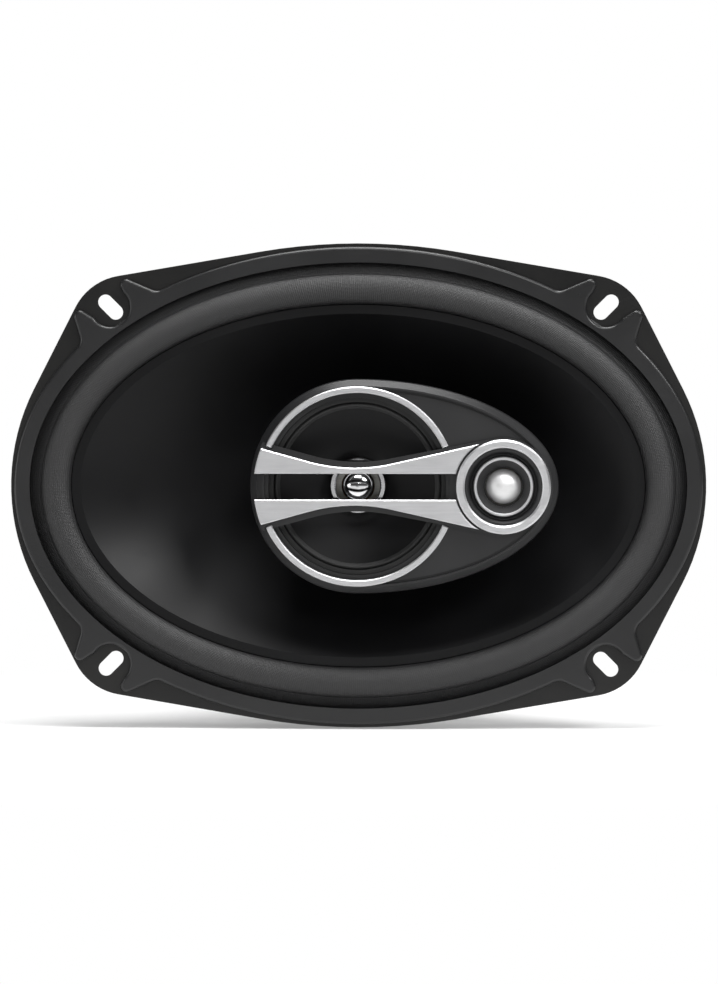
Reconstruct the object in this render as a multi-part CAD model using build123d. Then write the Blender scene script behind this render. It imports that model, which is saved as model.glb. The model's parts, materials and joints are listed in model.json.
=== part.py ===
from build123d import *
import os
from math import acos, cos, radians, sin, tan

# Oval coaxial loudspeaker. It is modelled with its axis on local Z, front towards +Z, the rear face
# of the mounting flange at 0, X along the long side and Y up; save() turns it to face -Y with +Z up.

# Flange and the family of ovals that share its centre; every ring is an inset from the outline
flange_half_length = 118.5
flange_half_height = 82.5
flange_sheet = 1.2
top_arc_radius = 198.0
end_arc_radius = 72.5
corner_radius = 20.0
corner_inset_x, corner_inset_y = 39.9, 30.8
slot_inset_x, slot_inset_y = 34.1, 21.7
slot_length, slot_width = 10.0, 5.1
slot_x = flange_half_length - slot_inset_x
slot_y = flange_half_height - slot_inset_y

# Trim ring that clamps the surround
trim_outer_inset, trim_inner_inset = 1.2, 6.5
trim_thickness = 2.4
trim_edge_radius = 0.9
pocket_radius = 6.7
lip_inset = 3.8

# Surround and cone
surround_sheet = 0.5
roll_outer_inset, roll_width, roll_height = 10.2, 10.4, 4.6
cone_edge_inset = 20.9
cone_land = 3.0
cone_wall = 0.8
cone_depth = 37.0
glue_gap = 0.1

# Voice coil and motor
former_inner, former_wall, former_length = 15.5, 0.4, 26.0
winding_wall, winding_length = 0.6, 10.0
coil_gap = 0.4
basket_depth = 50.2
plate_radius, plate_thickness = 40.0, 6.0
magnet_radius, magnet_bore, magnet_thickness = 45.0, 24.0, 17.0
back_thickness = 6.0

# Basket
basket_wall = 1.2
rim_depth, rim_draft = 13.0, 4.0
ledge_radius, ledge_depth = 58.0, 37.0
cup_radius = 49.2
spoke_width = 14.0
window_count = 6

# Post, nut and pod
post_radius, post_bore = 5.0, 3.2
post_shoulder = 8.0
nut_flats, nut_height, recess_radius, recess_depth = 14.0, 3.5, 9.5, 5.0
pod_radius, pod_tip = 36.5, 68.4
pod_seam, pod_rim, pod_face = 8.0, 12.0, 11.0
pod_wall = 1.8
pod_floor_radius, pod_back = 22.0, -21.0

# Silver trim on the pod
ring_outer, ring_inner, ring_angle = 33.9, 31.8, 24.0
trim_lift = 1.8
arm_thickness = 1.6
arm_gap = 8.8
arm_end_radius = 35.0
arm_left_angle, arm_right_angle, arm_waist_radius = 15.4, 12.7, 58.0
carrier_right_angle = 10.9
tweeter_x = 49.7
bezel_outer, bezel_inner = 16.0, 13.2
bezel_gap = 0.7
chamfer_size = 0.35
tinsel_radius = 0.7

fit_gap = 0.1

neck_radius = former_inner + former_wall
lip_front = flange_sheet + surround_sheet
cone_front = lip_front + glue_gap
neck_z = cone_front - cone_depth
plate_back = -basket_depth - plate_thickness
magnet_back = plate_back - magnet_thickness
yoke_back = magnet_back - back_thickness
pole_radius = former_inner - coil_gap
arm_top = pod_face + trim_lift + arm_thickness


def save(name, shape):
    export_step(Rot(90, 0, 0) * shape, f"parts/{name}.step")


def slab(face, low, high):
    return extrude(Pos(0, 0, low) * face, amount=high - low)


def tube(outer, inner, low, high):
    face = Circle(outer) - Circle(inner) if inner else Circle(outer)
    return slab(face, low, high)


def lathe(*points):
    profile = make_face(Plane.XZ * Polyline(*points, close=True))
    return revolve(profile, axis=Axis.Z)


def oval(inset):
    return Ellipse(flange_half_length - inset, flange_half_height - inset)


def taper(front, back, thin=0.0):
    sections = [Pos(0, 0, z) * Ellipse(half_x - thin, half_y - thin) for half_x, half_y, z in (front, back)]
    return loft(sections, ruled=True)


def corners(shape):
    return [mirror_x for base in (shape, mirror(shape, Plane.YZ)) for mirror_x in (base, mirror(base, Plane.XZ))]


def tangent_normal(first, second):
    # outward normal of the line that touches two circles, going counter-clockwise
    step = Vector(second[0] - first[0], second[1] - first[1])
    turn = acos((first[2] - second[2]) / step.length)
    unit = step.normalized()
    return Vector(unit.X * cos(turn) + unit.Y * sin(turn), unit.Y * cos(turn) - unit.X * sin(turn))


def hull_face(circles):
    normals = [tangent_normal(circles[i - 1], circle) for i, circle in enumerate(circles)]
    edges = []
    for i, (x, y, radius) in enumerate(circles):
        start, end = normals[i], normals[(i + 1) % len(circles)]
        middle = (start + end).normalized()
        centre = Vector(x, y)
        following = circles[(i + 1) % len(circles)]
        edges.append(ThreePointArc(centre + start * radius, centre + middle * radius, centre + end * radius))
        edges.append(Line(centre + end * radius, Vector(following[0], following[1]) + end * following[2]))
    return make_face(edges)


def flange_outline():
    x, y = flange_half_length - corner_inset_x, flange_half_height - corner_inset_y
    end, top = flange_half_length - end_arc_radius, flange_half_height - top_arc_radius
    return hull_face([
        (end, 0, end_arc_radius), (x, y, corner_radius), (0, top, top_arc_radius), (-x, y, corner_radius),
        (-end, 0, end_arc_radius), (-x, -y, corner_radius), (0, -top, top_arc_radius), (x, -y, corner_radius),
    ])


def windows():
    # openings between the spokes, cut straight through along the axis
    band = oval(roll_outer_inset + 6.5) - Circle(ledge_radius + 2.5)
    for i in range(window_count // 2):
        spoke = Rectangle(3 * flange_half_length, spoke_width)
        band -= Rot(0, 0, 90 + 360 * i / window_count) * spoke
    return slab(band, -ledge_depth - 3, -rim_depth - 0.5)


def basket():
    opening = roll_outer_inset + 0.4
    half_x, half_y = flange_half_length - opening + basket_wall, flange_half_height - opening + basket_wall
    front = (half_x, half_y, 0)
    knee = (half_x - rim_draft, half_y - rim_draft, -rim_depth)
    seat = (ledge_radius, ledge_radius, -ledge_depth)
    slot = Pos(slot_x, slot_y) * Rot(0, 0, -135) * SlotOverall(slot_length, slot_width)
    body = slab(flange_outline() - oval(opening), 0, flange_sheet)
    for cut in corners(slab(slot, -1, flange_sheet + 1)):
        body -= cut
    body += taper(front, knee) - taper(front, knee, basket_wall)
    body += (taper(knee, seat) - taper(knee, seat, basket_wall)) - windows()
    body += tube(ledge_radius, cup_radius - basket_wall, -ledge_depth - basket_wall, -ledge_depth)
    body += tube(cup_radius, cup_radius - basket_wall, -basket_depth, -ledge_depth)
    body += tube(cup_radius, neck_radius + winding_wall + 1.0, -basket_depth, -basket_depth + basket_wall)
    vent = Pos(0, 0, -ledge_depth - 6.5) * Rot(90, 0, 0) * extrude(SlotOverall(11, 5), amount=60)
    for i in range(window_count):
        body -= Rot(0, 0, 30 + 360 * i / window_count) * vent
    for i in range(4):
        body -= Rot(0, 0, 45 + 90 * i) * Pos(rivet_circle, 0, -basket_depth) * Cylinder(rivet_radius, 8)
    for x in (-rivet_spread, rivet_spread):
        body -= Pos(x, board_rivet_y, -ledge_depth) * Cylinder(board_rivet_radius, 8)
    return body


rivet_circle, rivet_radius = 30.0, 2.0
board_rivet_y, board_rivet_radius, rivet_spread = 53.5, 1.5, 9.0
board_top, board_thickness = 67.0, 1.5
board_front = -ledge_depth - basket_wall


def uprights(body):
    return body.edges().filter_by(lambda edge: abs((edge @ 1 - edge @ 0).Z) > trim_thickness / 2)


def trim_ring():
    ear = make_face(Polyline(
        (slot_x - 22.4, slot_y + 2.5), (slot_x - 1.1, slot_y + 11.6), (slot_x - 6.5, slot_y + 1.2),
        (slot_x + 6.1, slot_y - 3.4), (slot_x + 13.8, slot_y + 1.5), (slot_x + 8.6, slot_y - 16.0), close=True))
    pocket = Pos(slot_x, slot_y) * Circle(pocket_radius)
    ear_solid = slab(ear - pocket, flange_sheet, flange_sheet + trim_thickness)
    for tip in ((slot_x - 1.1, slot_y + 11.6, 0), (slot_x + 13.8, slot_y + 1.5, 0)):
        edge = uprights(ear_solid).sort_by_distance(Vector(*tip))[0]
        ear_solid = fillet(edge, 2.0)
    body = slab(oval(trim_outer_inset), flange_sheet, flange_sheet + trim_thickness)
    body -= corners(slab(pocket, 0, 9))
    body += corners(ear_solid)
    roots = []
    for x, y in ((slot_x - 16.0, slot_y + 5.3), (slot_x + 9.7, slot_y - 12.1)):
        for side in (-1, 1):
            for up in (-1, 1):
                roots += uprights(body).sort_by_distance(Vector(side * x, up * y, 2))[:1]
    body = fillet(roots, 4.0)
    front = body.faces().sort_by(Axis.Z)[-1]
    body = fillet(front.edges(), trim_edge_radius)
    body -= slab(oval(trim_inner_inset), 0, 9)
    body -= slab(oval(lip_inset), 0, lip_front)
    return body


def roll_face(height, inset):
    # half ellipse with flat ends, as stations of oval inset and front height
    return [(inset + roll_width * i / 8, height * sin(radians(180 * i / 8))) for i in range(9)]


def stack(stations):
    body = None
    for (first, low), (second, high) in zip(stations, stations[1:]):
        section = loft([Pos(0, 0, low) * oval(first), Pos(0, 0, high) * oval(second)], ruled=True)
        body = section if body is None else body + section
    return body


def surround():
    base = flange_sheet
    rise = roll_face(roll_height, roll_outer_inset)
    outer = [(inset, lip_front + z) for inset, z in rise[:5]]
    inner = [(inset + 0.01, lip_front + z) for inset, z in rise[4:]][::-1]
    body = slab(oval(lip_inset + glue_gap), base, lip_front) + stack(outer)
    well = [(inset, z) for inset, z in inner]
    body -= stack(well)
    edge = roll_outer_inset + roll_width
    body += slab(oval(edge - 0.5) - oval(edge + cone_land), base, lip_front)
    body -= slab(oval(edge + cone_land), base - 1, lip_front + 0.01)
    hollow = stack([(roll_outer_inset + 1.6, base - 0.5), (roll_outer_inset + 3.2, lip_front + roll_height * 0.7)])
    core = stack([(edge - 1.6, base - 0.5), (edge - 3.2, lip_front + roll_height * 0.7)])
    return body - (hollow - core)


def cone_stations(lift):
    edge_x = flange_half_length - cone_edge_inset - cone_land
    edge_y = flange_half_height - cone_edge_inset - cone_land
    rows = []
    for i in range(5):
        share = i / 4
        depth = cone_depth * (share + 0.25 * share * (1 - share))
        rows.append((edge_x + (neck_radius - edge_x) * share, edge_y + (neck_radius - edge_y) * share,
                     cone_front - depth + lift))
    return rows


def woofer_cone():
    front = loft([Pos(0, 0, z) * Ellipse(x, y) for x, y, z in cone_stations(cone_wall)])
    back = loft([Pos(0, 0, z) * Ellipse(x, y) for x, y, z in cone_stations(0)])
    land = slab(oval(cone_edge_inset) - oval(cone_edge_inset + cone_land + 3), cone_front, cone_front + cone_wall)
    return (back + land) - front - tube(neck_radius, 0, neck_z - 1, neck_z + 6)


def spider():
    waves = 6
    span = cup_radius - basket_wall - 1.0 - 22
    steps = [(22 + span * i / (2 * waves), 0.9 if i % 2 else -0.9) for i in range(2 * waves + 1)]
    top = [(r, -ledge_depth + 1.2 + z) for r, z in steps]
    seat = ledge_radius - basket_wall - 0.6
    shelf = -ledge_depth + 0.6
    upper = [(neck_radius + glue_gap, shelf)] + top + [(cup_radius - basket_wall - 0.6, shelf), (seat, shelf)]
    lower = [(r, z - 0.6) for r, z in upper]
    return lathe(*(upper + lower[::-1]))


def yoke():
    body = tube(plate_radius, 0, yoke_back, magnet_back) + tube(pole_radius, 0, magnet_back, -basket_depth)
    body -= tube(recess_radius, 0, yoke_back - 1, yoke_back + recess_depth)
    body -= tube(post_radius, 0, yoke_back - 1, 0)
    return chamfer(body.faces().sort_by(Axis.Z)[0].outer_wire().edges(), 1.0)


def centre_post():
    body = tube(post_radius, 0, yoke_back + 0.3, -basket_depth) + tube(post_shoulder, 0, -basket_depth, pod_back - 2)
    body += tube(post_shoulder + 4, 0, pod_back - 2, pod_back)
    return body - tube(post_bore, 0, yoke_back - 1, 0)


def post_washer():
    return tube(recess_radius - 0.5, post_radius, yoke_back + recess_depth - 1, yoke_back + recess_depth)


def post_nut():
    top = yoke_back + recess_depth - 1
    hexagon = RegularPolygon(nut_flats / 2, 6, major_radius=False)
    return slab(hexagon - Circle(post_radius), top - nut_height, top)


def plate_rivets():
    rivet = tube(rivet_radius, 0, -basket_depth - 3, -basket_depth + basket_wall)
    rivet += tube(rivet_radius + 1.2, 0, -basket_depth + basket_wall, -basket_depth + basket_wall + 1.2)
    return [Rot(0, 0, 45 + 90 * i) * Pos(rivet_circle, 0, 0) * rivet for i in range(4)]


def front_plate():
    body = tube(plate_radius, neck_radius + winding_wall + coil_gap, plate_back, -basket_depth)
    for i in range(4):
        body -= Rot(0, 0, 45 + 90 * i) * Pos(rivet_circle, 0, -basket_depth) * Cylinder(rivet_radius, 6)
    return body


def ferrite_magnet():
    body = tube(magnet_radius, magnet_bore, magnet_back, plate_back)
    rims = body.edges().filter_by(GeomType.CIRCLE).group_by(SortBy.RADIUS)[-1]
    return chamfer(rims, 1.2)


def terminal_board():
    board = Pos(0, (board_top + cup_radius + 1) / 2) * RectangleRounded(28, board_top - cup_radius - 1, 3)
    body = slab(board, board_front - board_thickness, board_front)
    for x in (-rivet_spread, rivet_spread):
        body -= Pos(x, board_rivet_y, board_front) * Cylinder(board_rivet_radius, 8)
    return body


def terminal_rivets():
    back = board_front - board_thickness
    rivet = tube(board_rivet_radius, 0, back, -ledge_depth)
    rivet += tube(board_rivet_radius + 1, 0, back - 0.8, back)
    return [Pos(x, board_rivet_y, 0) * rivet for x in (-rivet_spread, rivet_spread)]


def blade(width, x):
    back = board_front - board_thickness
    body = slab(Pos(x, 66.5) * Rectangle(width, 15), back - 0.8, back)
    hole = Pos(x, 71.5, back) * Cylinder(0.8, 4)
    return body - hole


def wire(points, radii, radius):
    path = FilletPolyline(*points, radius=radii)
    return sweep(Plane(origin=path @ 0, z_dir=path % 0) * Circle(radius), path=path)


def corner_radii(points):
    radii = []
    for before, corner, after in zip(points, points[1:], points[2:]):
        into = Vector(*corner) - Vector(*before)
        out = Vector(*after) - Vector(*corner)
        half_turn = radians(into.get_angle(out)) / 2
        radii.append(0.45 * min(into.length, out.length) / tan(half_turn))
    return radii


def tinsel_lead(side):
    back = board_front + 0.2
    points = [(side * 9.6, 66, back), (side * 9.6, 65.5, -33), (side * 9.4, 61.8, -26),
              (side * 8.6, 51, -26.5), (side * 7, 41, -25.5), (side * 6, 33, -26.5)]
    return wire(points, corner_radii(points), tinsel_radius)


def egg(inset, tip=None, round_radius=None):
    side = (round_radius or pod_radius) - inset
    reach = (tip or pod_tip) - inset
    left = CenterArc((0, 0), side, 90, 180)
    right = EllipticalCenterArc((0, 0), reach, side, -90, arc_size=180)
    return make_face([left, right])


def pod_bowl(thin, lift):
    sections = [(egg(0.8 + thin), pod_seam), (egg(6.0 + thin), -4.0 + lift),
                (egg(thin, pod_floor_radius, pod_floor_radius), pod_back + lift)]
    return loft([Pos(0, 0, z) * face for face, z in sections], ruled=True)


def pod_rear_shell():
    body = pod_bowl(0, 0) - pod_bowl(pod_wall, pod_wall)
    return body - tube(post_bore, 0, pod_back - 1, pod_back + pod_wall + 1)


def pod_front_shell():
    sections = [(0, pod_seam), (0.3, pod_seam + 1.5), (2.4, pod_rim)]
    body = loft([Pos(0, 0, z) * egg(inset) for inset, z in sections], ruled=True)
    body -= slab(egg(3.0), pod_face, pod_rim + 1)
    body -= slab(egg(3.0) - egg(4.0), pod_face - 0.7, pod_rim)
    body -= slab(egg(2.2), pod_seam - 1, pod_face - 1.9)
    body -= tube(ring_inner - 0.2, 0, 0, 20)
    body -= tube(ring_outer + fit_gap, 0, pod_face, 20)
    body -= slab(carrier_face(fit_gap), pod_face, 20)
    return body - Pos(tweeter_x, 0, 0) * tube(bezel_inner + 0.8, 0, 0, 20)


def arm_edge(waist, right_angle, reach):
    # upper edge of an arm: two sloping runs joined by a long round waist
    half = (arm_left_angle + right_angle) / 2
    tilt = abs(arm_left_angle - right_angle) / 2
    sag = arm_waist_radius * (cos(radians(tilt)) / cos(radians(half)) - 1)
    vertex = (-2.2, arm_gap / 2 + waist - sag)
    left = (-reach, vertex[1] + (reach + vertex[0]) * tan(radians(arm_left_angle)))
    right = (reach, vertex[1] + (reach - vertex[0]) * tan(radians(right_angle)))
    return [(-reach, arm_gap / 2), left, vertex, right, (reach, arm_gap / 2)]


def arm_face(waist, right_angle, end_radius):
    low_left, left, vertex, right, low_right = arm_edge(waist, right_angle, 60.0)
    top = FilletPolyline(left, vertex, right, radius=arm_waist_radius)
    face = make_face([top, Line(right, low_right), Line(low_right, low_left), Line(low_left, left)])
    keep = Circle(end_radius) + Pos(50, 0) * Rectangle(100, 100)
    return face & keep


def arm():
    face = arm_face(2.0, arm_right_angle, arm_end_radius)
    face -= Pos(tweeter_x, 0) * Circle(bezel_outer + bezel_gap)
    face -= Pos(tweeter_x + 50, 0) * Rectangle(100, 100)
    body = slab(face, pod_face + trim_lift, arm_top)
    return chamfer(body.faces().sort_by(Axis.Z)[-1].edges(), chamfer_size)


def tangent_radius():
    vertex, right = arm_edge(4.0, carrier_right_angle, 60.0)[2:4]
    slope = tan(radians(carrier_right_angle))
    return (vertex[1] + (tweeter_x - vertex[0]) * slope) * cos(radians(carrier_right_angle))


def carrier_face(extra=0.0):
    upper = arm_face(4.0 + extra, carrier_right_angle, arm_end_radius + 0.3 + extra)
    upper -= Pos(tweeter_x + 50 - tangent_radius() * sin(radians(carrier_right_angle)), 0) * Rectangle(100, 100)
    face = upper + mirror(upper, Plane.XZ) + Pos(tweeter_x, 0) * Circle(tangent_radius())
    return face


def bar_carrier():
    face = carrier_face() - Pos(tweeter_x, 0) * Circle(bezel_inner + 0.8)
    body = slab(face, pod_face, pod_face + trim_lift)
    for side in (ring_arc(0.3), mirror(ring_arc(0.3), Plane.XZ)):
        body -= side
    return body


def ring_arc(extra=0.0):
    band = Circle(ring_outer + extra) - Circle(ring_inner - extra)
    reach = 2 * ring_outer
    y = reach * tan(radians(ring_angle - extra))
    band &= make_face(Polyline((0, 0), (reach, y), (reach, reach * 2), (-reach, reach * 2), (-reach, y), close=True))
    return slab(band, pod_face, pod_face + trim_lift + 0.1)


def ring_half():
    body = ring_arc()
    return chamfer(body.faces().sort_by(Axis.Z)[-1].edges(), chamfer_size)


def tweeter(body):
    return Pos(tweeter_x, 0, 0) * body


def tweeter_parts():
    base = pod_face + trim_lift
    bezel = lathe((bezel_inner, base), (bezel_outer, base), (bezel_outer, base + 1.4), (bezel_outer - 0.6, base + 2.0),
                  (bezel_inner + 0.6, base + 2.0), (bezel_inner, base + 1.4))
    face = lathe((6.9, 8.3), (13.1, 8.3), (13.1, base + 0.9), (12.4, base + 0.9), (11.5, base - 0.3),
                 (11.1, base + 0.2), (10.8, base - 0.3), (10.3, base - 0.9), (9.0, base - 0.9), (6.9, 9.2))
    ring = lathe((9.1, base - 0.9), (10.2, base - 0.9), (10.2, base), (9.9, base + 0.4), (9.4, base + 0.4), (9.1, base))
    flange = tube(13.1, 9.0, 6.4, 8.3)
    cup = tube(8.8, 0, -3.0, 6.4) - tube(7.2, 0, -1.6, 7)
    return {
        "tweeter_bezel": bezel, "tweeter_face": face, "tweeter_ring": ring, "tweeter_mount": flange,
        "tweeter_cup": cup + tube(10.5, 7.2, 5.2, 6.4), "tweeter_magnet": tube(5.0, 0, -1.6, 3.4),
        "tweeter_pole": tube(5.3, 0, 3.4, 5.4), "tweeter_coil": tube(6.0, 5.7, 4.0, 8.0),
        "tweeter_surround": tube(8.9, 6.4, 8.0, 8.2),
    }


def tweeter_dome():
    ball = Pos(0, 0, 6.0) * Sphere(6.33) - Pos(0, 0, 6.0) * Sphere(5.93)
    return ball & tube(8, 0, 8.0, 20)


def midrange_parts():
    frame = lathe((28.4, 4.0), (31.2, 4.0), (31.2, 8.1), (33.5, 8.1), (33.5, 9.1), (30.2, 9.1), (30.2, 5.0), (28.4, 5.0))
    frame += lathe((28.4, 4.0), (30.0, 4.0), (19.0, -7.0), (19.0, -8.0), (17.5, -8.0), (17.5, -7.0))
    gasket = tube(30.1, 28.6, 5.4, 6.2)
    cone = lathe((27.4, 4.9), (27.4, 4.2), (9.4, -3.0), (9.4, -2.3))
    collar = lathe((7.6, -1.6), (9.6, -1.6), (9.6, 1.2), (9.2, 1.8), (8.0, 1.8), (7.6, 1.2))
    return {
        "midrange_frame": frame, "midrange_gasket": gasket, "midrange_cone": cone, "midrange_collar": collar,
        "midrange_former": tube(9.4, 9.1, -10.5, -1.6), "midrange_spider": tube(17.2, 9.5, -7.0, -6.6),
        "midrange_plate": tube(18.5, 9.9, -11.0, -8.0), "midrange_magnet": tube(18.5, 12.0, -16.0, -11.0),
        "midrange_yoke": tube(18.5, 0, -19.2, -16.0) + tube(8.6, 0, -16.0, -8.0),
        "midrange_surround": lathe((26.4, 5.0), (30.0, 5.0), (30.0, 5.4), (28.5, 5.4), (28.0, 6.3), (27.2, 6.3),
                                   (26.7, 5.4), (26.4, 5.4)),
    }


def midrange_dome():
    stem = tube(2.0, 0, -8.0, 0.5)
    ball = Pos(0, 0, -0.5) * Sphere(5.7)
    return stem + (ball & tube(6, 0, -0.5, 9))


def capacitor(radius, length, x):
    # lies across the pod on the sloping floor of its rear shell
    rise = (pod_back + 4.0) / (pod_tip - 6.0 - pod_floor_radius)
    floor = -4.0 + pod_wall + (pod_tip - 6.0 - pod_wall - x) * rise
    seat = floor + (radius + 0.8) * (1 + rise * rise) ** 0.5
    return Pos(x, 0, seat) * Rot(90, 0, 0) * Cylinder(radius, length)


os.makedirs("parts", exist_ok=True)
save("basket", basket())
save("trim_ring", trim_ring())
save("woofer_surround", surround())
save("woofer_cone", woofer_cone())
former_back = neck_z - former_length
save("voice_coil_former", tube(neck_radius, former_inner, former_back, neck_z + 2))
winding_back = -basket_depth - plate_thickness / 2 - winding_length / 2
save("voice_coil_winding", tube(neck_radius + winding_wall, neck_radius, winding_back, winding_back + winding_length))
save("spider", spider())
save("front_plate", front_plate())
save("plate_rivets", Compound(children=plate_rivets()))
save("ferrite_magnet", ferrite_magnet())
save("yoke", yoke())
save("centre_post", centre_post())
save("post_washer", post_washer())
save("post_nut", post_nut())
save("terminal_board", terminal_board())
save("terminal_rivets", Compound(children=terminal_rivets()))
save("positive_terminal", blade(4.8, -5.0))
save("negative_terminal", blade(2.8, 5.0))
save("positive_lead", tinsel_lead(-1))
save("negative_lead", tinsel_lead(1))
save("pod_rear_shell", pod_rear_shell())
save("pod_front_shell", pod_front_shell())
save("bar_carrier", bar_carrier())
save("upper_bar", arm())
save("lower_bar", mirror(arm(), Plane.XZ))
save("upper_ring_arc", ring_half())
save("lower_ring_arc", mirror(ring_half(), Plane.XZ))
for name, body in tweeter_parts().items():
    save(name, tweeter(body))
save("tweeter_dome", tweeter(tweeter_dome()))
for name, body in midrange_parts().items():
    save(name, body)
save("midrange_dome", midrange_dome())
save("tweeter_capacitor", capacitor(3.0, 11.0, 41.0))
save("midrange_capacitor", capacitor(4.0, 14.0, 32.0))
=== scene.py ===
import bpy, bmesh, json
from math import sin, cos, pi, radians, atan2, hypot
from mathutils import Vector, Matrix


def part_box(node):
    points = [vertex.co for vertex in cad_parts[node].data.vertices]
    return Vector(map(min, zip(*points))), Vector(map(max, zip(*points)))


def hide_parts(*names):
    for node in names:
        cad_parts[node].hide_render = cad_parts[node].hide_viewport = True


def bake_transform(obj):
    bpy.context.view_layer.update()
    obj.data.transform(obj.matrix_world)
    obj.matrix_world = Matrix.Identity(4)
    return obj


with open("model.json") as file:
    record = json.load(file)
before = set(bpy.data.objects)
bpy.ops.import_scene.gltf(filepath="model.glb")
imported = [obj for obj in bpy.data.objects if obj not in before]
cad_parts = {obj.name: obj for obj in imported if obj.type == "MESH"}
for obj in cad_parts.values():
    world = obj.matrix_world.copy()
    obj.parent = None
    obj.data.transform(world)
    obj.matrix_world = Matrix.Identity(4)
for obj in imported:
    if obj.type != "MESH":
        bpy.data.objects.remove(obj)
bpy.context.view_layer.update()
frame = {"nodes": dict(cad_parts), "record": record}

scene = bpy.context.scene
nodes = frame["nodes"]
mm = 0.001
mergeReach = 0.001 * mm
print("frame loaded")

# the outer oval that every ring is an inset of
flangeLow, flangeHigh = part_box("basket")
oval = {"halfLength": flangeHigh[0], "halfHeight": flangeHigh[2]}


# shader groups

def newGroup(name, inputs, outputs):
    group = bpy.data.node_groups.new(name, "ShaderNodeTree")
    for label, kind, value in inputs:
        socket = group.interface.new_socket(label, in_out="INPUT", socket_type=kind)
        if value is not None:
            socket.default_value = value
    for label, kind in outputs:
        group.interface.new_socket(label, in_out="OUTPUT", socket_type=kind)
    return group, group.nodes.new("NodeGroupInput"), group.nodes.new("NodeGroupOutput")


def link(tree, start, end):
    tree.links.new(start, end)


def noise(tree, vector, scale, detail=3.0, rough=0.55):
    node = tree.nodes.new("ShaderNodeTexNoise")
    node.inputs["Detail"].default_value = detail
    node.inputs["Roughness"].default_value = rough
    if isinstance(scale, (int, float)):
        node.inputs["Scale"].default_value = scale
    else:
        link(tree, scale, node.inputs["Scale"])
    link(tree, vector, node.inputs["Vector"])
    return node


def mapRange(tree, value, low, high, fromLow=0.3, fromHigh=0.7):
    node = tree.nodes.new("ShaderNodeMapRange")
    node.inputs["From Min"].default_value = fromLow
    node.inputs["From Max"].default_value = fromHigh
    for label, item in (("To Min", low), ("To Max", high)):
        if isinstance(item, (int, float)):
            node.inputs[label].default_value = item
        else:
            link(tree, item, node.inputs[label])
    link(tree, value, node.inputs["Value"])
    return node.outputs["Result"]


def mixColour(tree, factor, first, second):
    node = tree.nodes.new("ShaderNodeMix")
    node.data_type = "RGBA"
    link(tree, factor, node.inputs["Factor"])
    link(tree, first, node.inputs[6])
    link(tree, second, node.inputs[7])
    return node.outputs[2]


patches = {"scale": 22.0, "detail": 4.0}


def moulded():
    # fine moulded grain: speckled colour, uneven gloss and a shallow bump height
    group, gin, gout = newGroup("mouldedGrain", [
        ("Vector", "NodeSocketVector", None), ("Dark", "NodeSocketColor", (0.01, 0.01, 0.01, 1)),
        ("Light", "NodeSocketColor", (0.03, 0.03, 0.03, 1)), ("Scale", "NodeSocketFloat", 1500.0),
        ("Gloss Low", "NodeSocketFloat", 0.4), ("Gloss High", "NodeSocketFloat", 0.55)],
        [("Color", "NodeSocketColor"), ("Roughness", "NodeSocketFloat"), ("Height", "NodeSocketFloat")])
    fine = noise(group, gin.outputs["Vector"], gin.outputs["Scale"])
    broad = noise(group, gin.outputs["Vector"], patches["scale"], patches["detail"])
    link(group, mixColour(group, mapRange(group, broad.outputs["Fac"], 0.0, 1.0), gin.outputs["Dark"],
                          gin.outputs["Light"]), gout.inputs["Color"])
    link(group, mapRange(group, broad.outputs["Fac"], gin.outputs["Gloss Low"], gin.outputs["Gloss High"]),
         gout.inputs["Roughness"])
    link(group, fine.outputs["Fac"], gout.inputs["Height"])
    return group


brushing = {"stretch": (0.06, 1.0, 1.0), "detail": 5.0, "rough": 0.7}


def brushed():
    # satin metal: noise stretched along the brushing
    group, gin, gout = newGroup("brushedMetal", [
        ("Vector", "NodeSocketVector", None), ("Dark", "NodeSocketColor", (0.4, 0.4, 0.41, 1)),
        ("Light", "NodeSocketColor", (0.7, 0.7, 0.71, 1)), ("Scale", "NodeSocketFloat", 900.0),
        ("Gloss Low", "NodeSocketFloat", 0.25), ("Gloss High", "NodeSocketFloat", 0.38)],
        [("Color", "NodeSocketColor"), ("Roughness", "NodeSocketFloat"), ("Height", "NodeSocketFloat")])
    stretch = group.nodes.new("ShaderNodeMapping")
    stretch.inputs["Scale"].default_value = brushing["stretch"]
    link(group, gin.outputs["Vector"], stretch.inputs["Vector"])
    lines = noise(group, stretch.outputs["Vector"], gin.outputs["Scale"], brushing["detail"],
                  brushing["rough"])
    link(group, mixColour(group, mapRange(group, lines.outputs["Fac"], 0.0, 1.0), gin.outputs["Dark"],
                          gin.outputs["Light"]), gout.inputs["Color"])
    link(group, mapRange(group, lines.outputs["Fac"], gin.outputs["Gloss Low"], gin.outputs["Gloss High"]),
         gout.inputs["Roughness"])
    link(group, lines.outputs["Fac"], gout.inputs["Height"])
    return group


weave = {"distortion": 0.6, "detail": 2.0, "contrast": 0.75, "patchScale": 6.0, "patchDetail": 4.0,
         "patchLift": 0.3}


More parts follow.
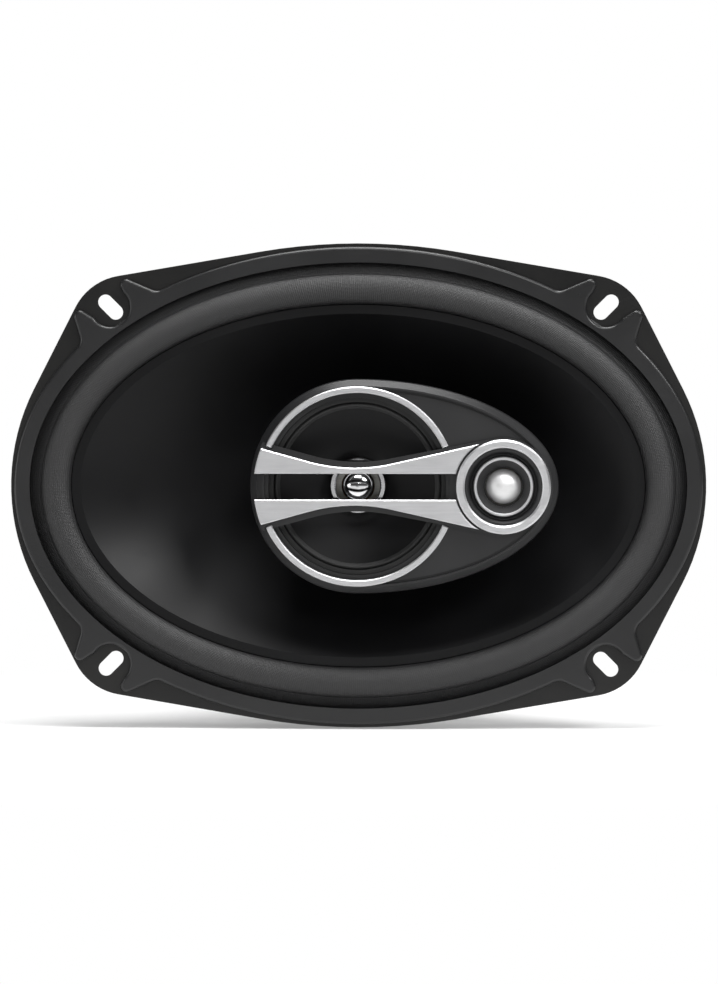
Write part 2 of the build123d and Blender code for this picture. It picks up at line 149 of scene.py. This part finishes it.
def woven():
    # plain weave from two crossed wave patterns
    group, gin, gout = newGroup("wovenCloth", [
        ("Vector", "NodeSocketVector", None), ("Dark", "NodeSocketColor", (0.02, 0.02, 0.02, 1)),
        ("Light", "NodeSocketColor", (0.06, 0.06, 0.06, 1)), ("Threads", "NodeSocketFloat", 30.0),
        ("Gloss Low", "NodeSocketFloat", 0.55), ("Gloss High", "NodeSocketFloat", 0.8)],
        [("Color", "NodeSocketColor"), ("Roughness", "NodeSocketFloat"), ("Height", "NodeSocketFloat")])
    waves = []
    for direction in ("X", "Y"):
        wave = group.nodes.new("ShaderNodeTexWave")
        wave.bands_direction = direction
        wave.inputs["Distortion"].default_value = weave["distortion"]
        wave.inputs["Detail"].default_value = weave["detail"]
        link(group, gin.outputs["Vector"], wave.inputs["Vector"])
        link(group, gin.outputs["Threads"], wave.inputs["Scale"])
        waves.append(wave)
    cross = group.nodes.new("ShaderNodeMath")
    cross.operation = "MULTIPLY"
    link(group, waves[0].outputs["Fac"], cross.inputs[0])
    link(group, waves[1].outputs["Fac"], cross.inputs[1])
    patchy = noise(group, gin.outputs["Vector"], weave["patchScale"], weave["patchDetail"])
    blend = group.nodes.new("ShaderNodeMath")
    blend.operation = "MULTIPLY_ADD"
    link(group, cross.outputs[0], blend.inputs[0])
    blend.inputs[1].default_value = weave["contrast"]
    link(group, mapRange(group, patchy.outputs["Fac"], 0.0, weave["patchLift"]), blend.inputs[2])
    link(group, mixColour(group, blend.outputs[0], gin.outputs["Dark"], gin.outputs["Light"]),
         gout.inputs["Color"])
    link(group, mapRange(group, patchy.outputs["Fac"], gin.outputs["Gloss Low"], gin.outputs["Gloss High"]),
         gout.inputs["Roughness"])
    link(group, blend.outputs[0], gout.inputs["Height"])
    return group


groups = {"moulded": moulded(), "brushed": brushed(), "woven": woven()}

finishes = {
    "painted_steel": {"group": "moulded", "dark": (0.0035, 0.0035, 0.0035), "light": (0.007, 0.0066, 0.006),
                      "gloss": (0.28, 0.38), "scale": 1400, "bump": 0.05, "specular": 0.4},
    "moulded_trim": {"group": "moulded", "dark": (0.008, 0.008, 0.0083), "light": (0.012, 0.012, 0.0124),
                     "gloss": (0.26, 0.36), "scale": 2400, "bump": 0.05, "specular": 0.45},
    "cone_black": {"group": "moulded", "dark": (0.0016, 0.0016, 0.0018), "light": (0.0035, 0.0035, 0.004),
                   "gloss": (0.40, 0.48), "scale": 900, "bump": 0.03, "specular": 0.2},
    "pod_black": {"group": "moulded", "dark": (0.008, 0.008, 0.0086), "light": (0.013, 0.013, 0.0136),
                  "gloss": (0.3, 0.42), "scale": 2600, "bump": 0.06, "specular": 0.5},
    "satin_silver": {"group": "brushed", "dark": (0.60, 0.60, 0.61), "light": (0.68, 0.68, 0.69),
                     "gloss": (0.36, 0.44), "scale": 1500, "bump": 0.05, "metal": 1.0},
    "bright_chrome": {"group": "brushed", "dark": (0.62, 0.62, 0.63), "light": (0.74, 0.74, 0.75),
                      "gloss": (0.10, 0.15), "scale": 400, "bump": 0.01, "metal": 1.0},
    "spider_cloth": {"group": "woven", "dark": (0.22, 0.12, 0.03), "light": (0.5, 0.34, 0.12),
                     "threads": 900, "bump": 0.4},
    "soft_rubber": {"group": "moulded", "dark": (0.006, 0.006, 0.006), "light": (0.014, 0.014, 0.014),
                    "gloss": (0.5, 0.65), "scale": 1200, "bump": 0.05},
    "ferrite": {"group": "moulded", "dark": (0.018, 0.018, 0.02), "light": (0.05, 0.05, 0.055),
                "gloss": (0.45, 0.7), "scale": 700, "bump": 0.25},
    "plated_steel": {"group": "brushed", "dark": (0.32, 0.32, 0.30), "light": (0.55, 0.55, 0.52),
                     "gloss": (0.28, 0.45), "scale": 600, "bump": 0.05, "metal": 1.0},
    "copper_wire": {"group": "brushed", "dark": (0.35, 0.12, 0.04), "light": (0.62, 0.27, 0.1),
                    "gloss": (0.25, 0.4), "scale": 2600, "bump": 0.3, "metal": 1.0},
    "former_film": {"group": "moulded", "dark": (0.2, 0.08, 0.02), "light": (0.34, 0.16, 0.05),
                    "gloss": (0.3, 0.4), "scale": 600, "bump": 0.03},
    "board": {"group": "moulded", "dark": (0.05, 0.03, 0.012), "light": (0.11, 0.07, 0.035),
              "gloss": (0.6, 0.75), "scale": 900, "bump": 0.2},
    "terminal_tin": {"group": "brushed", "dark": (0.5, 0.44, 0.28), "light": (0.72, 0.66, 0.46),
                     "gloss": (0.25, 0.4), "scale": 900, "bump": 0.05, "metal": 1.0},
    "braid": {"group": "woven", "dark": (0.28, 0.14, 0.06), "light": (0.7, 0.48, 0.28),
              "threads": 2200, "bump": 0.5, "metal": 0.9},
    "capacitor_sleeve": {"group": "moulded", "dark": (0.01, 0.015, 0.05), "light": (0.02, 0.03, 0.09),
                         "gloss": (0.2, 0.3), "scale": 300, "bump": 0.02},
    "cloth_roll": {"group": "woven", "dark": (0.006, 0.006, 0.0064), "light": (0.022, 0.022, 0.0225),
                   "threads": 0.314, "bump": 0.6, "gloss": (0.42, 0.55), "mapped": True},
    "dome_silver": {"group": "brushed", "dark": (0.62, 0.62, 0.62), "light": (0.72, 0.72, 0.72),
                    "gloss": (0.42, 0.5), "scale": 500, "bump": 0.02, "metal": 0.55},
}


plain = {"gloss": (0.6, 0.8), "specular": 0.5, "metal": 0.0, "bumpDepth": 0.0002}


def makeMaterial(name, look):
    material = bpy.data.materials.new(name)
    material.use_nodes = True
    tree = material.node_tree
    shader = tree.nodes["Principled BSDF"]
    group = tree.nodes.new("ShaderNodeGroup")
    group.node_tree = groups[look["group"]]
    coordinates = tree.nodes.new("ShaderNodeTexCoord")
    link(tree, coordinates.outputs["UV" if look.get("mapped") else "Object"], group.inputs["Vector"])
    group.inputs["Dark"].default_value = (*look["dark"], 1)
    group.inputs["Light"].default_value = (*look["light"], 1)
    if "threads" in look:
        group.inputs["Threads"].default_value = look["threads"]
    else:
        group.inputs["Scale"].default_value = look["scale"]
    low, high = look.get("gloss", plain["gloss"])
    group.inputs["Gloss Low"].default_value = low
    group.inputs["Gloss High"].default_value = high
    bump = tree.nodes.new("ShaderNodeBump")
    bump.inputs["Strength"].default_value = look["bump"]
    bump.inputs["Distance"].default_value = plain["bumpDepth"]
    link(tree, group.outputs["Height"], bump.inputs["Height"])
    link(tree, bump.outputs["Normal"], shader.inputs["Normal"])
    link(tree, group.outputs["Color"], shader.inputs["Base Color"])
    link(tree, group.outputs["Roughness"], shader.inputs["Roughness"])
    shader.inputs["Metallic"].default_value = look.get("metal", plain["metal"])
    shader.inputs["Specular IOR Level"].default_value = look.get("specular", plain["specular"])
    return material


materials = {name: makeMaterial(name, look) for name, look in finishes.items()}
slotOf = {part["node"]: part["material_slot"] for part in frame["record"]["subparts"]}
ownFinish = {"tweeter_dome": "dome_silver"}
for name, piece in nodes.items():
    finish = materials[ownFinish.get(name, slotOf[name])]
    if piece.material_slots:
        for materialSlot in piece.material_slots:
            materialSlot.material = finish
    else:
        piece.data.materials.append(finish)
print("materials made")


# ring pieces: a profile of (inset, depth) is spun round and then laid on the oval

def ringMesh(profile, steps):
    mesh = bmesh.new()
    points = [mesh.verts.new((1.0 - inset, depth, 0.0)) for inset, depth in profile]
    edges = [mesh.edges.new((a, b)) for a, b in zip(points, points[1:])]
    edges.append(mesh.edges.new((points[-1], points[0])))
    bmesh.ops.spin(mesh, geom=points + edges, cent=(0, 0, 0), axis=(0, 1, 0), dvec=(0, 0, 0),
                   angle=2 * pi, steps=steps, use_merge=True, use_duplicate=False)
    bmesh.ops.remove_doubles(mesh, verts=mesh.verts, dist=mergeReach)
    for vert in mesh.verts:
        angle = atan2(vert.co.z, vert.co.x)
        inset = 1.0 - hypot(vert.co.x, vert.co.z)
        vert.co.x = (oval["halfLength"] - inset) * cos(angle)
        vert.co.z = (oval["halfHeight"] - inset) * sin(angle)
    bmesh.ops.recalc_face_normals(mesh, faces=mesh.faces)
    return mesh


def finishPiece(name, mesh, slot, node):
    data = bpy.data.meshes.new(name)
    mesh.to_mesh(data)
    mesh.free()
    for polygon in data.polygons:
        polygon.use_smooth = True
    piece = bpy.data.objects.new(name, data)
    scene.collection.objects.link(piece)
    data.materials.append(materials[slot])
    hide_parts(node)
    return piece


roll = {"lipInset": 3.9 * mm, "outerInset": 10.2 * mm, "width": 10.4 * mm, "height": 4.6 * mm,
        "sheet": 0.5 * mm, "lipFront": -1.7 * mm, "innerLip": 2.6 * mm, "threadsAcross": 16,
        "threadsRound": 860, "steps": 288, "arcSteps": 20, "crest": 0.9}


def ovalAngle(point):
    return atan2(point.z / oval["halfHeight"], point.x / oval["halfLength"])


def surroundPiece():
    front, back = [], []
    count = roll["arcSteps"]
    front.append((roll["lipInset"], roll["lipFront"]))
    back.append((roll["lipInset"], roll["lipFront"] + roll["sheet"]))
    for i in range(count + 1):
        swing = pi * i / count
        inset = roll["outerInset"] + roll["width"] * (1 - cos(swing)) / 2
        lift = roll["height"] * sin(swing) ** roll["crest"] if 0 < i < count else 0.0
        front.append((inset, roll["lipFront"] - lift))
        back.append((inset, roll["lipFront"] - lift + roll["sheet"]))
    end = roll["outerInset"] + roll["width"] + roll["innerLip"]
    front.append((end, roll["lipFront"]))
    back.append((end, roll["lipFront"] + roll["sheet"]))
    mesh = ringMesh(front + back[::-1], roll["steps"])
    layer = mesh.loops.layers.uv.new("weave")
    for face in mesh.faces:
        middle = ovalAngle(face.calc_center_median())
        for loop in face.loops:
            point = loop.vert.co
            angle = ovalAngle(point)
            if angle - middle > pi:
                angle -= 2 * pi
            if middle - angle > pi:
                angle += 2 * pi
            across = oval["halfLength"] - hypot(point.x, point.z * oval["halfLength"] / oval["halfHeight"])
            loop[layer].uv = (angle / (2 * pi) * roll["threadsRound"],
                              across / roll["width"] * roll["threadsAcross"])
    piece = finishPiece("cloth_surround", mesh, "cloth_roll", "woofer_surround")
    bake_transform(piece)
    # the roll hinges from its outer edge to its inner edge; an inset is worked out for each vertex, but
    # nothing is made from it
    for vert in piece.data.vertices:
        angle = atan2(vert.co.z / (oval["halfHeight"] - roll["outerInset"]),
                      vert.co.x / (oval["halfLength"] - roll["outerInset"]))
        if abs(cos(angle)) > 0.5:
            inset = oval["halfLength"] - vert.co.x / cos(angle)
        else:
            inset = oval["halfHeight"] - vert.co.z / sin(angle)


surroundPiece()
print("surround made")


# round soft pieces: spun about the speaker's axis

def discPiece(name, node, slot, disc):
    mesh = bmesh.new()
    front = [Vector((radius * mm, depth * mm, 0)) for radius, depth in disc["front"]]
    back = [point + Vector((0, disc["sheet"] * mm, 0)) for point in front]
    points = [mesh.verts.new(point) for point in front + back[::-1]]
    edges = [mesh.edges.new((a, b)) for a, b in zip(points, points[1:] + points[:1])]
    bmesh.ops.spin(mesh, geom=points + edges, cent=(0, 0, 0), axis=(0, 1, 0), dvec=(0, 0, 0),
                   angle=2 * pi, steps=disc["steps"], use_merge=True, use_duplicate=False)
    bmesh.ops.remove_doubles(mesh, verts=mesh.verts, dist=mergeReach)
    bmesh.ops.recalc_face_normals(mesh, faces=mesh.faces)
    bmesh.ops.translate(mesh, verts=mesh.verts, vec=(disc["centre"], 0, 0))
    piece = finishPiece(name, mesh, slot, node)
    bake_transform(piece)


def waves(inner, outer, depth, height, count, perWave=8):
    steps = count * perWave
    return [(inner + (outer - inner) * i / steps, depth - height * sin(2 * pi * count * i / steps))
            for i in range(steps + 1)]


spider = {"front": [(16.0, 36.6)] + waves(22.0, 47.0, 36.4, 0.8, 6) + [(48.0, 36.6), (56.2, 36.6)],
          "sheet": 0.5, "steps": 128, "free": 21.0, "fixed": 48.0, "centre": 0, "body": "woofer"}
midSurround = {"front": [(26.4, -5.4), (26.7, -5.4), (27.0, -5.95), (27.4, -6.25), (27.8, -6.25),
                         (28.2, -5.95), (28.5, -5.4), (30.0, -5.4)],
               "sheet": 0.35, "steps": 128, "free": 26.8, "fixed": 28.6, "centre": 0, "body": "midrange"}
midSpider = {"front": waves(9.5, 17.2, 6.75, 0.1, 3), "sheet": 0.15, "steps": 96, "free": 9.7, "fixed": 17.0,
             "centre": 0, "body": "midrange"}
tweeterSurround = {"front": [(6.4, -8.2), (7.0, -8.2), (7.6, -8.2), (8.2, -8.2), (8.9, -8.2)], "sheet": 0.2,
                   "steps": 96, "free": 6.5, "fixed": 8.8, "body": "tweeter"}
tweeterLow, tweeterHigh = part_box("tweeter_surround")
tweeterSurround["centre"] = (tweeterLow[0] + tweeterHigh[0]) / 2
discPiece("spider_disc", "spider", "spider_cloth", spider)
discPiece("midrange_roll", "midrange_surround", "soft_rubber", midSurround)
discPiece("midrange_disc", "midrange_spider", "spider_cloth", midSpider)
discPiece("tweeter_roll", "tweeter_surround", "soft_rubber", tweeterSurround)

braid = {"radius": 0.7 * mm, "sides": 12, "bend": 6, "corner": 0.4,
         "path": [(9.6, 38.0, 66), (9.6, 33, 65.5), (9.4, 26, 61.8), (8.6, 26.5, 51), (7, 25.5, 41),
                  (6, 26.5, 33)]}


def leadPiece(name, node, side):
    corners = [Vector((side * x * mm, y * mm, z * mm)) for x, y, z in braid["path"]]
    line = [corners[0]]
    for before, corner, after in zip(corners, corners[1:], corners[2:]):
        start, end = corner.lerp(before, braid["corner"]), corner.lerp(after, braid["corner"])
        for i in range(braid["bend"] + 1):
            share = i / braid["bend"]
            line.append(start.lerp(corner, share).lerp(corner.lerp(end, share), share))
    line.append(corners[-1])
    mesh = bmesh.new()
    loops = []
    for i, point in enumerate(line):
        way = (line[min(i + 1, len(line) - 1)] - line[max(i - 1, 0)]).normalized()
        turn = Vector((1, 0, 0)).cross(way).normalized()
        frameTurn = Matrix((turn.cross(way), turn, way)).transposed().to_4x4()
        made = bmesh.ops.create_circle(mesh, cap_ends=False, segments=braid["sides"], radius=braid["radius"],
                                       matrix=Matrix.Translation(point) @ frameTurn)
        loops.append(list({edge for vert in made["verts"] for edge in vert.link_edges}))
    bmesh.ops.edgeloop_fill(mesh, edges=loops[0])
    bmesh.ops.edgeloop_fill(mesh, edges=loops[-1])
    for first, second in zip(loops, loops[1:]):
        bmesh.ops.bridge_loops(mesh, edges=first + second)
    bmesh.ops.recalc_face_normals(mesh, faces=mesh.faces)
    piece = finishPiece(name, mesh, "braid", node)
    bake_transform(piece)


leadPiece("left_braid", "positive_lead", -1)
leadPiece("right_braid", "negative_lead", 1)
print("spider, small rolls and leads made")

# floor, white surroundings, camera and lights

floor = {"size": 6.0, "below": 0.0005, "glowNear": 0.25, "glowFar": 1.0, "reachNear": 0.12, "reachFar": 0.34,
         "white": (0.86, 0.86, 0.86, 1), "rough": 0.9, "specular": 0.1}


def eitherRay(tree, first, second):
    path = tree.nodes.new("ShaderNodeLightPath")
    seen = tree.nodes.new("ShaderNodeMath")
    seen.operation = "MAXIMUM"
    link(tree, path.outputs[first], seen.inputs[0])
    link(tree, path.outputs[second], seen.inputs[1])
    return seen.outputs[0]


def floorMaterial(name):
    material = bpy.data.materials.new(name)
    material.use_nodes = True
    tree = material.node_tree
    shader = tree.nodes["Principled BSDF"]
    shader.inputs["Base Color"].default_value = floor["white"]
    shader.inputs["Roughness"].default_value = floor["rough"]
    shader.inputs["Specular IOR Level"].default_value = floor["specular"]
    glow = tree.nodes.new("ShaderNodeEmission")
    glow.inputs["Strength"].default_value = 1.0
    # the floor turns to plain white away from the shadow
    coordinates = tree.nodes.new("ShaderNodeTexCoord")
    reach = tree.nodes.new("ShaderNodeVectorMath")
    reach.operation = "LENGTH"
    link(tree, coordinates.outputs["Object"], reach.inputs[0])
    share = mapRange(tree, reach.outputs["Value"], floor["glowNear"], floor["glowFar"], floor["reachNear"],
                     floor["reachFar"])
    amount = tree.nodes.new("ShaderNodeMath")
    amount.operation = "MULTIPLY"
    link(tree, share, amount.inputs[1])
    link(tree, eitherRay(tree, "Is Camera Ray", "Is Glossy Ray"), amount.inputs[0])
    mix = tree.nodes.new("ShaderNodeMixShader")
    link(tree, amount.outputs[0], mix.inputs[0])
    link(tree, shader.outputs[0], mix.inputs[1])
    link(tree, glow.outputs[0], mix.inputs[2])
    link(tree, mix.outputs[0], tree.nodes["Material Output"].inputs["Surface"])
    return material


def floorPlane(name):
    mesh = bmesh.new()
    bmesh.ops.create_grid(mesh, x_segments=1, y_segments=1, size=floor["size"] / 2)
    height = flangeLow[2] - floor["below"]
    bmesh.ops.transform(mesh, matrix=Matrix.Translation((0, 0, height)), verts=mesh.verts)
    data = bpy.data.meshes.new(name)
    mesh.to_mesh(data)
    mesh.free()
    plane = bpy.data.objects.new(name, data)
    scene.collection.objects.link(plane)
    data.materials.append(floorMaterial(name + "_white"))


floorPlane("studio_floor")

surroundings = {"colour": (1, 1, 1, 1), "lit": 0.07, "seen": 1.0}
world = bpy.data.worlds.new("studio")
scene.world = world
world.use_nodes = True
sky = world.node_tree
background = sky.nodes["Background"]
background.inputs["Color"].default_value = surroundings["colour"]
strength = sky.nodes.new("ShaderNodeMapRange")
strength.inputs["To Min"].default_value = surroundings["lit"]
strength.inputs["To Max"].default_value = surroundings["seen"]
link(sky, eitherRay(sky, "Is Camera Ray", "Is Transmission Ray"), strength.inputs["Value"])
link(sky, strength.outputs["Result"], background.inputs["Strength"])

view = {"lens": 300.0, "sensor": 36.0, "farthest": 50.0, "width": 0.2448, "right": 1.9, "up": 1.8,
        "aim": (0.0003, 0.0, -0.0022)}


def lookAt(item, target):
    item.rotation_euler = (Vector(target) - item.location).to_track_quat("-Z", "Y").to_euler()


cameraData = bpy.data.cameras.new("front")
camera = bpy.data.objects.new("front", cameraData)
scene.collection.objects.link(camera)
cameraData.sensor_fit = "HORIZONTAL"
cameraData.sensor_width = view["sensor"]
cameraData.lens = view["lens"]
cameraData.clip_end = view["farthest"]
distance = view["width"] * view["lens"] / view["sensor"]
side, lift = radians(view["right"]), radians(view["up"])
towards = Vector((sin(side) * cos(lift), -cos(side) * cos(lift), sin(lift)))
camera.location = Vector(view["aim"]) + distance * towards
lookAt(camera, view["aim"])
scene.camera = camera

lamps = {
    "key": {"at": (0.75, -0.5, 0.75), "size": 0.4, "power": 9.0},
    "top": {"at": (0.0, -0.2, 0.95), "size": 0.6, "power": 13.0},
    "front": {"at": (0.3, -1.6, 0.9), "size": 0.7, "power": 8.0},
    "fill": {"at": (-1.0, -0.4, 0.1), "size": 0.5, "power": 2.5},
    "back": {"at": (0.2, 1.0, 0.8), "size": 0.8, "power": 7.0},
}
for name, lamp in lamps.items():
    lightData = bpy.data.lights.new(name, "AREA")
    lightData.size = lamp["size"]
    lightData.energy = lamp["power"]
    light = bpy.data.objects.new(name, lightData)
    light.location = lamp["at"]
    scene.collection.objects.link(light)
    lookAt(light, (0, 0, 0))
print("stage, camera and lights made")

scene.view_settings.view_transform = "Standard"
